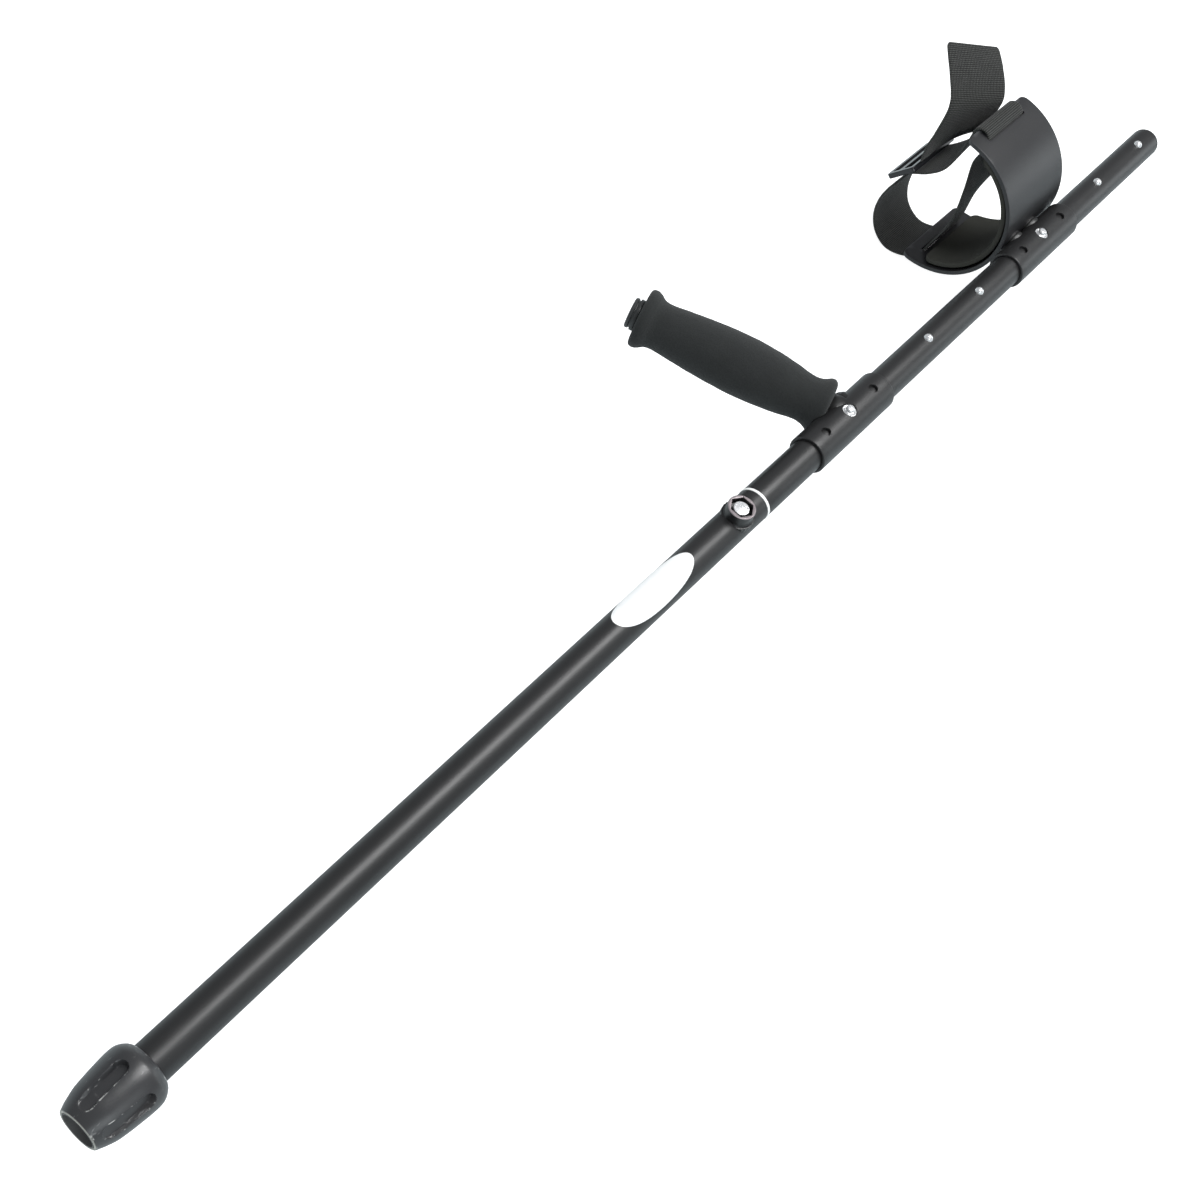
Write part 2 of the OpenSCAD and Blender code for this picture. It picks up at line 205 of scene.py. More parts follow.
def rounded(outline, radius, steps=5):
    """A closed outline of (a, b) points with each corner rounded.

    Radius is one value, or one for each corner.
    """
    most_of_half = 0.49
    count = len(outline)
    radii = radius if isinstance(radius, (list, tuple)) else [radius] * count
    result = []
    for i in range(count):
        corner = Vector(outline[i])
        before = Vector(outline[i - 1]) - corner
        after = Vector(outline[(i + 1) % count]) - corner
        if radii[i] <= 0:
            result.append(tuple(corner))
            continue
        half = before.angle(after) / 2
        reach = min(radii[i] / math.tan(half), most_of_half * before.length, most_of_half * after.length)
        start = corner + before.normalized() * reach
        end = corner + after.normalized() * reach
        for k in range(steps + 1):
            t = k / steps
            result.append(tuple(start * (1 - t) ** 2 + corner * 2 * t * (1 - t) + end * t * t))
    return result


def with_stations(outline, stations):
    """The outline with extra points where its long edges cross the given values of the first coordinate."""
    short_edge = 1.5 * MM
    margin = 0.01 * MM
    result = []
    for i, p in enumerate(outline):
        q = outline[(i + 1) % len(outline)]
        result.append(p)
        if abs(q[0] - p[0]) < short_edge:
            continue
        inside = [s for s in stations if min(p[0], q[0]) + margin < s < max(p[0], q[0]) - margin]
        for s in sorted(inside, reverse=q[0] < p[0]):
            t = (s - p[0]) / (q[0] - p[0])
            result.append((s, p[1] + t * (q[1] - p[1])))
    return result


def strip_faces(rings, count):
    """Faces that join closed rings of points, one after another."""
    faces = []
    for i in range(rings - 1):
        for k in range(count):
            a, b, n = i * count, (i + 1) * count, (k + 1) % count
            faces.append((a + k, a + n, b + n, b + k))
    return faces


def lathe(name, outline, segments=96, place=None, reshape=None):
    """Revolves a closed outline of (x, radius) points about the X axis, or the X axis of a placed frame.

    Reshape gives a new radius from x, the radius and the angle.
    """
    place = place or Matrix.Identity(4)
    count = len(outline)
    points = []
    for k in range(segments):
        a = 2 * math.pi * k / segments
        for x, r in outline:
            if reshape:
                r = reshape(x, r, a)
            points.append(place @ Vector((x, r * math.cos(a), r * math.sin(a))))
    faces = []
    for k in range(segments):
        for i in range(count):
            j = (i + 1) % count
            a, b = k * count, (k + 1) % segments * count
            faces.append((a + i, a + j, b + j, b + i))
    return add_mesh(name, points, faces)


def curve_through(points, steps):
    """Catmull-Rom points through a list of tuples."""
    p = [Vector(q) for q in points]
    result = []
    for i in range(len(p) - 1):
        a, b, c, d = p[max(i - 1, 0)], p[i], p[i + 1], p[min(i + 2, len(p) - 1)]
        for k in range(steps):
            t = k / steps
            bend = (2 * a - 5 * b + 4 * c - d) * t**2
            twist = (3 * b - a - 3 * c + d) * t**3
            result.append(0.5 * (2 * b + (c - a) * t + bend + twist))
    return result + [p[-1]]


def smoothstep(low, high, value):
    """0 at low, 1 at high, with an even turn between them."""
    t = min(max((value - low) / (high - low), 0), 1)
    return t * t * (3 - 2 * t)


def facing_z(x):
    """A frame whose X axis points along +Z, at the given place along the shaft."""
    return Matrix.Translation((x, 0, 0)) @ Matrix.Rotation(-math.pi / 2, 4, "Y")


def across_shaft(x):
    """A frame whose X axis points along +Y, at the given place along the shaft."""
    return Matrix.Translation((x, 0, 0)) @ Matrix.Rotation(math.pi / 2, 4, "Z")


def hole_cutter(x, radius, surface):
    """A cutter along +Z with a small countersink at the surface."""
    sink = 0.35 * MM
    above = surface + 3 * sink
    outline = [(0, 0), (0, radius), (surface - sink, radius), (above, radius + 4 * sink), (above, 0)]
    return lathe("cutter", outline, 48, facing_z(x))


def rod(start, end, radius, segments=128, place=None):
    """A plain cylinder along the shaft, for cutting other pieces."""
    return lathe("cutter", [(start, 0), (start, radius), (end, radius), (end, 0)], segments, place)


# --- material helpers ---


class Shader:
    """A material's node tree with short calls for adding nodes."""

    def __init__(self, name, color, roughness, metallic=0.0):
        self.material = bpy.data.materials.new(name)
        self.material.use_nodes = True
        self.tree = self.material.node_tree
        self.bsdf = self.tree.nodes["Principled BSDF"]
        self.set("Base Color", (*color, 1))
        self.set("Roughness", roughness)
        self.set("Metallic", metallic)

    def set(self, name, value):
        socket = self.bsdf.inputs[name]
        if isinstance(value, bpy.types.NodeSocket):
            self.tree.links.new(value, socket)
        else:
            socket.default_value = value

    def node(self, kind, inputs=(), **properties):
        n = self.tree.nodes.new("ShaderNode" + kind)
        for key, value in properties.items():
            setattr(n, key, value)
        for key, value in dict(inputs).items():
            if isinstance(value, bpy.types.NodeSocket):
                self.tree.links.new(value, n.inputs[key])
            else:
                n.inputs[key].default_value = value
        return n

    def math(self, operation, a, b=0.0):
        return self.node("Math", {0: a, 1: b}, operation=operation).outputs[0]

    def coords(self, stretch=(1, 1, 1)):
        """Object coordinates, stretched along each axis."""
        source = self.node("TexCoord").outputs["Object"]
        return self.node("Mapping", {"Vector": source, "Scale": stretch}).outputs[0]

    def noise(self, scale, detail=3, stretch=(1, 1, 1), rough=0.55):
        inputs = {"Vector": self.coords(stretch), "Scale": scale, "Detail": detail, "Roughness": rough}
        return self.node("TexNoise", inputs).outputs[0]

    def ramp(self, value, low, high):
        """0 below low, 1 above high."""
        inputs = {"Value": value, "From Min": low, "From Max": high}
        return self.node("MapRange", inputs, clamp=True).outputs[0]

    def between(self, value, low, high):
        """The value 0..1 turned into low..high."""
        return self.node("MapRange", {"Value": value, "To Min": low, "To Max": high}).outputs[0]

    def mix(self, factor, a, b):
        """A colour between a and b."""
        a = (*a, 1) if isinstance(a, tuple) and len(a) == 3 else a
        b = (*b, 1) if isinstance(b, tuple) and len(b) == 3 else b
        return self.node("Mix", {"Factor": factor, 6: a, 7: b}, data_type="RGBA").outputs[2]

    def bump(self, height, distance, strength=1.0):
        inputs = {"Height": height, "Distance": distance, "Strength": strength}
        self.set("Normal", self.node("Bump", inputs).outputs[0])

    def edges(self, low=0.51, high=0.56):
        """1 on convex edges, 0 elsewhere."""
        return self.ramp(self.node("NewGeometry").outputs["Pointiness"], low, high)


def black_anodised(name, level):
    """Satin black anodised aluminium: drawn lines along the tube, faint cloudiness and pale dust marks."""
    s = Shader(name, (level, level, level * 1.06), 0.4)
    cloud = s.noise(28, 4)
    drawn = s.noise(900, 2, (0.03, 1, 1))
    dust = s.ramp(s.noise(2600, 1), 0.77, 0.82)
    base = s.mix(s.between(cloud, 0, 1), (level * 0.85,) * 3, (level * 1.2, level * 1.17, level * 1.22))
    s.set("Base Color", s.mix(s.math("MULTIPLY", dust, 0.25), base, (0.35, 0.35, 0.36)))
    rough = s.math("ADD", s.between(cloud, 0.37, 0.45), s.between(drawn, -0.03, 0.03))
    s.set("Roughness", rough)
    s.set("Specular IOR Level", 0.62)
    s.bump(drawn, 0.02 * MM, 0.5)
    return s.material


def satin_paint(name, level):
    """Satin black powder coat with a fine orange peel and slightly paler edges, a painted highlight on the
    convex edges.
    """
    s = Shader(name, (level, level, level), 0.42)
    peel = s.noise(1500, 2)
    # Painted highlight: convex edges three times paler than the paint.
    s.set("Base Color", s.mix(s.edges(), (level,) * 3, (level * 3,) * 3))
    s.set("Roughness", s.between(s.noise(60, 3), 0.28, 0.42))
    s.bump(peel, 0.05 * MM, 0.4)
    return s.material


def painted_rim_highlight(height):
    """Black paint with a painted highlight: a paler, pinkish, half-metallic band on the boss's rim, above the
    given height.
    """
    paint, rim_highlight = (0.01, 0.01, 0.01), (0.30, 0.26, 0.27)
    s = Shader("boss", paint, 0.34)
    up_in_mm = s.node("SeparateXYZ", {0: s.coords((1000, 1000, 1000))}).outputs[2]
    # Painted highlight on the rim's top, broken up by noise.
    above = s.ramp(up_in_mm, height / MM, height / MM + 0.3)
    rim = s.math("MULTIPLY", above, s.between(s.noise(500, 4), 0.6, 1.0))
    s.set("Base Color", s.mix(rim, paint, rim_highlight))
    s.set("Metallic", s.math("MULTIPLY", rim, 0.5))
    s.bump(s.noise(1500, 2), 0.05 * MM, 0.4)
    return s.material


def nut_plastic():
    """Moulded dark plastic, semi-gloss, with pale scuffs on its edges, fine scratches and a painted highlight
    on the lip.
    """
    s = Shader("nut_plastic", (0.035, 0.036, 0.038), 0.36)
    cloud = s.noise(45, 4)
    scratches = s.ramp(s.noise(420, 2, (0.35, 1, 0.12)), 0.68, 0.73)
    scuffs = s.math("MULTIPLY", s.ramp(s.noise(170, 5, (1, 1, 1), 0.7), 0.55, 0.64), s.edges(0.503, 0.52))
    from_mouth = s.node("SeparateXYZ", {0: s.coords()}).outputs[0]
    before_mouth_in_mm = s.math("MULTIPLY", from_mouth, -1000.0)
    # Painted highlight: a pale, noisy band on the lip at the nut's mouth, where the rim catches the light.
    lip = s.math("MULTIPLY", s.ramp(before_mouth_in_mm, -0.45, -0.1), s.noise(300, 3))
    base = s.mix(cloud, (0.016, 0.018, 0.020), (0.036, 0.034, 0.035))
    worn = s.mix(s.math("MULTIPLY", scratches, 0.3), base, (0.3, 0.3, 0.3))
    scuffed = s.mix(s.math("MULTIPLY", scuffs, 0.8), worn, (0.5, 0.5, 0.48))
    s.set("Base Color", s.mix(lip, scuffed, (0.6, 0.58, 0.5)))
    s.set("Roughness", s.between(cloud, 0.25, 0.42))
    s.set("Specular IOR Level", 0.7)
    s.bump(s.noise(1100, 3), 0.05 * MM, 0.5)
    return s.material


def moulded_plastic(name, color, roughness, grain=0.04 * MM):
    """Plain moulded plastic with a fine spark texture and slightly uneven gloss."""
    s = Shader(name, color, roughness)
    s.set("Roughness", s.between(s.noise(80, 3), roughness - 0.06, roughness + 0.08))
    darker = tuple(c * 0.88 for c in color)
    lighter = tuple(min(c * 1.12, 1) for c in color)
    s.set("Base Color", s.mix(s.noise(30, 3), darker, lighter))
    s.bump(s.noise(1800, 2), grain, 0.5)
    return s.material


def polished_steel():
    """Turned and polished stainless steel, with faint turning marks."""
    s = Shader("button_steel", (0.86, 0.865, 0.87), 0.26, 0.75)
    s.set("Roughness", s.between(s.noise(900, 2), 0.2, 0.34))
    s.set("Base Color", s.mix(s.noise(260, 2), (0.8, 0.8, 0.81), (0.93, 0.93, 0.93)))
    s.bump(s.noise(3500, 1), 0.01 * MM, 0.4)
    return s.material


def rolled_steel(name, level):
    """Plain sheet or turned steel with rolling lines."""
    s = Shader(name, (level,) * 3, 0.35, 1.0)
    lines = s.noise(1400, 2, (0.05, 1, 1))
    s.set("Roughness", s.between(lines, 0.26, 0.44))
    s.set("Base Color", s.mix(s.noise(90, 3), (level * 0.85,) * 3, (level * 1.1,) * 3))
    s.bump(lines, 0.01 * MM, 0.4)
    return s.material


def grip_foam():
    """Closed-cell foam: matt charcoal with small pores and a soft skin."""
    s = Shader("grip_foam", (0.02, 0.021, 0.021), 0.95)
    pores = s.node("TexVoronoi", {"Vector": s.coords(), "Scale": 1100.0}).outputs["Distance"]
    skin = s.noise(2300, 3)
    mottle = s.noise(70, 4)
    base = s.mix(mottle, (0.012, 0.0132, 0.013), (0.019, 0.0208, 0.0205))
    # Painted shade: the pores are painted darker than the foam's skin.
    s.set("Base Color", s.mix(s.ramp(pores, 0.0, 0.45), (0.011, 0.012, 0.012), base))
    s.set("Sheen Weight", 0.1)
    s.set("Sheen Roughness", 0.6)
    s.set("Specular IOR Level", 0.25)
    s.bump(s.math("ADD", pores, s.math("MULTIPLY", skin, 0.6)), 0.12 * MM, 0.7)
    return s.material


def liner_foam():
    """Dark olive sheet foam with an open, sanded surface."""
    s = Shader("pad_foam", (0.045, 0.045, 0.038), 0.97)
    grain = s.noise(2000, 4, rough=0.7)
    cells = s.node("TexVoronoi", {"Vector": s.coords(), "Scale": 1500.0}).outputs["Distance"]
    s.set("Base Color", s.mix(s.noise(40, 4), (0.036, 0.036, 0.031), (0.052, 0.052, 0.045)))
    s.set("Specular IOR Level", 0.2)
    s.bump(s.math("ADD", grain, cells), 0.1 * MM, 0.6)
    return s.material


def sheet_plastic():
    """The cuff's sheet: satin black with a fine haircell grain and a soft painted highlight on its edges."""
    s = Shader("cuff_plastic", (0.028, 0.028, 0.030), 0.4)
    grain = s.noise(1300, 4, rough=0.6)
    # Painted highlight: paler convex edges, broken up by noise.
    edge_highlight = s.math("MULTIPLY", s.edges(0.52, 0.6), s.between(s.noise(240, 3), 0.3, 1.0))
    base = s.mix(s.noise(18, 4), (0.013, 0.013, 0.0145), (0.019, 0.019, 0.0205))
    s.set("Base Color", s.mix(s.math("MULTIPLY", edge_highlight, 0.6), base, (0.12, 0.12, 0.125)))
    s.set("Roughness", s.between(s.noise(35, 4), 0.36, 0.47))
    s.bump(grain, 0.04 * MM, 0.5)
    return s.material


WEAVE_PITCH = 1.4 * MM


def webbing():
    """Plain-woven nylon: ribs across and along the band, alternate threads raised. UVs are in metres."""
    s = Shader("webbing", (0.014, 0.014, 0.014), 0.8)
    uv = s.node("SeparateXYZ", {0: s.node("UVMap").outputs[0]})
    turn = math.pi / WEAVE_PITCH
    across = s.math("ABSOLUTE", s.math("SINE", s.math("MULTIPLY", uv.outputs[0], turn)))
    along = s.math("ABSOLUTE", s.math("SINE", s.math("MULTIPLY", uv.outputs[1], turn)))
    thread = s.math("MULTIPLY", across, along)
    fibres = s.noise(4000, 2)
    fuzz = s.noise(160, 4)
    height = s.math("ADD", thread, s.math("MULTIPLY", fibres, 0.15))
    dark, light = (0.002, 0.002, 0.002), (0.055, 0.057, 0.051)
    # Painted light: raised threads painted lighter as a highlight, hollows between them painted dark as
    # shade.
    thread_highlight = s.math("MULTIPLY", s.math("POWER", thread, 1.4), s.between(fuzz, 0.7, 1.25))
    s.set("Base Color", s.mix(thread_highlight, dark, light))
    s.set("Roughness", s.between(thread, 0.95, 0.62))
    s.set("Sheen Weight", 0.12)
    s.set("Specular IOR Level", 0.3)
    s.bump(height, 0.35 * MM, 0.9)
    return s.material


def sticker_vinyl():
    """Blank white vinyl with a faint print grain and slightly lifted sheen."""
    s = Shader("sticker", (0.9, 0.9, 0.89), 0.32)
    s.set("Base Color", s.mix(s.noise(120, 4), (0.84, 0.84, 0.83), (0.93, 0.93, 0.925)))
    s.set("Roughness", s.between(s.noise(300, 2), 0.26, 0.4))
    s.set("Coat Weight", 0.3)
    s.bump(s.noise(900, 2), 0.01 * MM, 0.4)
    return s.material


TUBE = black_anodised("tube", 0.011)
SLEEVE = black_anodised("sleeve", 0.011)
FITTING = satin_paint("fitting", 0.010)
BOSS = painted_rim_highlight(size("joint_boss")[1].z - 0.6 * MM)
NUT = nut_plastic()
STEEL = polished_steel()
FOAM = grip_foam()
LINER = liner_foam()
SHEET = sheet_plastic()
WEBBING = webbing()
STICKER = sticker_vinyl()
SPRING = rolled_steel("spring_steel", 0.55)
SCREW = rolled_steel("screw_steel", 0.5)
SPIGOT = rolled_steel("spigot", 0.62)
WHITE_RING = moulded_plastic("white_ring", (0.86, 0.86, 0.84), 0.4)
PLUG = moulded_plastic("plug_plastic", (0.020, 0.020, 0.022), 0.42)
CAP = moulded_plastic("cap_plastic", (0.032, 0.034, 0.034), 0.36, 0.02 * MM)
POST = black_anodised("post", 0.05)
BUCKLE = moulded_plastic("buckle_plastic", (0.013, 0.013, 0.015), 0.16, 0.01 * MM)
COLLET = moulded_plastic("collet_plastic", (0.04, 0.04, 0.042), 0.5)
CLAMP = moulded_plastic("clamp_plastic", (0.10, 0.10, 0.098), 0.5)


# --- tubes, sleeves and their fittings ---


def tube_outline(low_x, high_x, outer, inner, edge):
    """A tube's wall, with its inner edges rounded less than its outer ones."""
    corners = [(low_x, inner), (low_x, outer), (high_x, outer), (high_x, inner)]
    return rounded(corners, [edge * 0.6, edge, edge, edge * 0.6])


def hole_stations(centres, low_x, high_x):
    """Even stations along a tube, close together round each hole."""
    coarse, fine, reach = 20 * MM, 0.8 * MM, 8 * MM
    values = set(np.arange(low_x + coarse, high_x, coarse).round(5))
    for c in centres:
        values |= set(np.arange(c - reach, c + reach, fine).round(5))
    return sorted(values)


def holed_tube(name, node, outer, inner, holes, edge):
    """A tube over the CAD node's length with round holes in its +Z side, given as (x, radius)."""
    low, high, _ = size(node)
    outline = tube_outline(low.x, high.x, outer, inner, edge)
    outline = with_stations(outline, hole_stations([x for x, _ in holes], low.x, high.x))
    obj = lathe(name, outline, 128)
    for x, radius in holes:
        boolean(obj, hole_cutter(x, radius, outer), "DIFFERENCE")
    return obj


TUBE_EDGE = 0.35 * MM
CATCH_HOLE_R = 3.25 * MM


def lower_tube():
    """Tube with the hole for the joint's push button."""
    holes = [(CATCH_X, CATCH_HOLE_R)]
    obj = holed_tube("lower_tube_skin", "lower_tube", TUBE_R, BORE_R, holes, TUBE_EDGE)
    finish(obj, "lower_section", TUBE, ["lower_tube"])


def upper_tube():
    """Tube with four holes for the index buttons and two larger ones for the sleeves' buttons."""
    index_r, shoulder_r = 3.35 * MM, 5.1 * MM
    holes = [(x, index_r) for x in INDEX_X] + [(HANDLE_X, shoulder_r), (CUFF_BUTTON_X, shoulder_r)]
    obj = holed_tube("upper_tube_skin", "upper_tube", TUBE_R, BORE_R, holes, TUBE_EDGE)
    finish(obj, "upper_section", TUBE, ["upper_tube"])


def sliding_sleeve(name, node, body, centre):
    """Sleeve with its button's hole in the middle and an index hole either side."""
    button_r, edge = 5.15 * MM, 0.7 * MM
    holes = [(centre, button_r), (centre - INDEX_PITCH, PIN_HOLE_R), (centre + INDEX_PITCH, PIN_HOLE_R)]
    obj = holed_tube(name, node, SLEEVE_R, SLEEVE_IN, holes, edge)
    finish(obj, body, SLEEVE, [node])


def white_ring():
    """White plastic ring between the two tubes."""
    low, high, _ = size("joint_ring")
    outer, edge = high.y, 0.3 * MM
    outline = rounded([(low.x, BORE_R), (low.x, outer), (high.x, outer), (high.x, BORE_R)], edge)
    finish(lathe("joint_ring_skin", outline, 128), "upper_section", WHITE_RING, ["joint_ring"])


def end_plug():
    """Rounded plug: a dome edge with a slightly flattened crown and a thin parting groove at the tube."""
    low, high, _ = size("end_plug")
    nose = 5 * MM
    start = high.x - nose
    groove = 0.35 * MM
    crown = [(high.x - nose * (1 - math.cos(a)), TUBE_R - nose + nose * math.sin(a))
             for a in np.linspace(0, math.pi / 2, 14)]
    outline = [(low.x, 0), (low.x, BORE_R - groove), (low.x + groove, BORE_R), (start, BORE_R),
               (start, TUBE_R - groove), (start + groove, TUBE_R)]
    outline += [(x, r) for x, r in reversed(crown) if x > start + groove]
    outline.append((high.x, 0))
    finish(lathe("end_plug_skin", outline, 96), "upper_section", PLUG, ["end_plug"])


def quarter_round(top, outer, radius, count):
    """Points of a rounded outer edge, from the side up to the top face."""
    return [(top - radius + radius * math.sin(a), outer - radius + radius * math.cos(a))
            for a in np.linspace(0, math.pi / 2, count)]


def index_button(number):
    """Domed pin standing out of the tube, with its flange inside."""
    node = f"index_button_{number}"
    low, high, centre = size(node)
    flange, pin = 4.6 * MM, 3.2 * MM
    dome = [(high.z - pin + pin * math.cos(a), pin * math.sin(a)) for a in np.linspace(math.pi / 2, 0, 14)]
    flange_top = low.z + FLANGE_T
    outline = [(low.z, 0), (low.z, flange), (flange_top, flange), (flange_top, pin)] + dome
    obj = lathe(f"{node}_skin", outline, 64, facing_z(centre.x))
    finish(obj, f"spare_button_{number}", STEEL, [node])


def sleeve_button(node, body):
    """Stepped pin: wide shoulder with a rounded edge, a shallow ring groove and a domed nipple.

    It is pressed in while its sleeve slides; it gets a mesh of its own.
    """
    low, high, centre = size(node)
    flange, shoulder, nipple = 6 * MM, 5 * MM, 3 * MM
    flange_top = low.z + FLANGE_T
    top = SLEEVE_IN + 1 * MM
    outline = [(low.z, 0), (low.z, flange), (flange_top, flange), (flange_top, shoulder)]
    outline += quarter_round(top, shoulder, 0.5 * MM, 7)
    outline += [(top - 0.15 * MM, nipple + 0.7 * MM), (top - 0.35 * MM, nipple + 0.25 * MM)]
    outline.append((top - 0.2 * MM, nipple))
    outline += quarter_round(high.z, nipple, 1.6 * MM, 10)
    outline.append((high.z, 0))
    obj = lathe(f"{node}_skin", outline, 64, facing_z(centre.x))
    finish(obj, body, STEEL, [node])
    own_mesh(obj)


def label():
    """Thin blank oval sticker wrapped round the tube, with its edge pressed down."""
    low, high, centre = size("label")
    half_length = (high.x - low.x) / 2
    half_arc = 13 * MM
    turn = math.pi / 2 - math.radians(9)
    face_lift, edge_lift = 0.26 * MM, 0.03 * MM
    rings, spokes = 14, 96
    points = []
    for i in range(rings + 1):
        share = i / rings
        lift = face_lift if i < rings else edge_lift
        for k in range(spokes):
            a = 2 * math.pi * k / spokes
            x = centre.x + share * half_length * math.cos(a)
            arc = turn + share * half_arc * math.sin(a) / TUBE_R
            r = TUBE_R + lift
            points.append((x, r * math.cos(arc), r * math.sin(arc)))
    obj = add_mesh("label_skin", points, strip_faces(rings + 1, spokes))
    finish(obj, "lower_section", STICKER, ["label"])


# --- twist-lock nut ---

FLUTES = 5
FLUTE_HALF = 3.9 * MM
FLUTE_START = 8.2 * MM
FLUTE_END = 27.8 * MM
FLUTE_TURN = math.radians(-16)
FLUTE_FLOOR = 13.1 * MM
FLUTE_FLOOR_RISE = 0.9 * MM
FLUTE_BRINK = 0.15 * MM
FLUTE_WALL = 0.8 * MM
NUT_END = size("lock_nut")[1].x
NUT_SHOULDER = 4 * MM
NUT_MOUTH_R = 10.35 * MM
NUT_SEAT_R = 12.6 * MM
NUT_THREAD_R = 13.55 * MM


def nut_flutes(x, r, angle):
    """Sinks flat-bottomed, round-ended channels into the nut's outer wall, and leaves its bore alone."""
    if r < NUT_THREAD_R + 0.02 * MM or x > NUT_END - NUT_SHOULDER:
        return r
    spacing = 2 * math.pi / FLUTES
    offset = (angle - math.pi / 2 - FLUTE_TURN + spacing / 2) % spacing - spacing / 2
    across = r * math.sin(offset)
    beyond = max(FLUTE_START - x, x - FLUTE_END, 0)
    edge = math.hypot(beyond, across) - FLUTE_HALF
    floor = (FLUTE_FLOOR + FLUTE_FLOOR_RISE * smoothstep(8 * MM, 14 * MM, x)) / math.cos(offset)
    depth = smoothstep(FLUTE_BRINK, FLUTE_BRINK - FLUTE_WALL, edge)
    return r + depth * min(floor - r, 0)


def lock_nut():
    """Fluted barrel that swells towards its rear, with a stepped bore and a rounded shoulder."""
    high = size("lock_nut")[1]
    top = high.y
    seat_start, seat_end = 8.5 * MM, 13 * MM
    side = curve_through(
        [(0.9 * MM, 12.1 * MM), (5 * MM, 13.8 * MM), (10 * MM, top - 2.1 * MM), (16 * MM, top - 1.2 * MM),
         (23 * MM, top - 0.5 * MM), (30 * MM, top), (35 * MM, top - 0.2 * MM), (38 * MM, top - 1.4 * MM),
         (40.2 * MM, top - 3.1 * MM)], 12)
    lip = [(0.2 * MM, NUT_MOUTH_R), (0, 10.6 * MM), (0, 11.3 * MM), (0.3 * MM, 11.8 * MM)]
    rear = [(high.x, top - 4.2 * MM), (high.x, 12.2 * MM), (high.x - 0.6 * MM, 11.6 * MM)]
    bore = [(high.x - 1.5 * MM, NUT_THREAD_R), (seat_end, NUT_THREAD_R), (seat_end, NUT_SEAT_R),
            (seat_start, NUT_SEAT_R), (4 * MM, NUT_MOUTH_R)]
    outline = lip + [tuple(p) for p in side] + rear + bore
    finish(lathe("lock_nut_skin", outline, 360, None, nut_flutes), "nut", NUT, ["lock_nut"])


# --- boss and push button at the joint ---


def joint_boss():
    """Welded boss: a collar with a hexagonal pocket and a weld bead round its foot."""
    top, outer = size("joint_boss")[1].z, 9 * MM
    bottom = TUBE_R - 5 * MM
    weld = 1.5 * MM
    weld_start = TUBE_R - 1.3 * MM
    fillet = [(weld_start + weld * 1.2 * (1 - math.cos(a)), outer + weld * (1 - math.sin(a)))
              for a in np.linspace(0, math.pi / 2, 8)]
    outline = [(bottom, 0), (bottom, outer + weld)] + fillet
    outline += quarter_round(top, outer, 0.6 * MM, 7)
    outline.append((top, 0))
    ripple, ripples = 0.18 * MM, 26

    def bead(x, r, angle):
        return r + ripple * math.sin(ripples * angle) * smoothstep(outer + 0.3 * MM, outer + weld, r)

    boss = lathe("joint_boss_skin", outline, 144, facing_z(CATCH_X), bead)
    hexagon = 6
    pocket_r = 6.8 * MM / math.cos(math.pi / hexagon)
    pocket_floor = 13 * MM
    pocket = rod(pocket_floor, top + 1 * MM, pocket_r, hexagon, facing_z(CATCH_X))
    boolean(boss, pocket, "DIFFERENCE")
    boolean(boss, hole_cutter(CATCH_X, CATCH_HOLE_R, pocket_floor), "DIFFERENCE")
    half = 20 * MM
    boolean(boss, rod(CATCH_X - half, CATCH_X + half, TUBE_R), "DIFFERENCE")
    bevel(boss, 0.3 * MM, 2, 50)
    finish(boss, "lower_section", BOSS, ["joint_boss"])


def joint_button():
    """Push button: a polished cap with a turned ring and a slightly dished face."""
    low, high, _ = size("joint_button")
    cap, stem = 5.1 * MM, 3.1 * MM
    under = high.z - 1.5 * MM
    face = [(high.z - 0.5 * MM, cap), (high.z - 0.12 * MM, cap - 0.25 * MM), (high.z, cap - 0.7 * MM),
            (high.z, 3.9 * MM), (high.z - 0.25 * MM, 3.6 * MM), (high.z - 0.2 * MM, 3.0 * MM),
            (high.z - 0.1 * MM, 1.6 * MM), (high.z - 0.05 * MM, 0)]
    outline = [(low.z, 0), (low.z, stem), (under, stem), (under, cap - 0.2 * MM), (under + 0.2 * MM, cap)]
    outline += face
    obj = lathe("joint_button_skin", outline, 72, facing_z(CATCH_X))
    finish(obj, "push_button", STEEL, ["joint_button"])


# --- handle ---

POST_POINT = axis_point("handle_post")
POST_AXIS = (axis_point("grip_cap") - POST_POINT).normalized()
POST_FOOT = POST_POINT - POST_AXIS * (POST_POINT.y / POST_AXIS.y)
POST_SIDE = POST_AXIS.cross(Vector((0, 0, 1))).normalized()
POST_TURN = Matrix((POST_AXIS, POST_SIDE, POST_AXIS.cross(POST_SIDE))).transposed()
ON_POST = Matrix.Translation(POST_FOOT) @ POST_TURN.to_4x4()
POST_R = 9.5 * MM
STEM_R = 7.9 * MM


def along_post(node):
    """Where a node starts and ends along the post's axis, measured from the shaft's axis."""
    distances = [(v.co - POST_FOOT).dot(POST_AXIS) for v in frame["nodes"][node].data.vertices]
    return min(distances), max(distances)


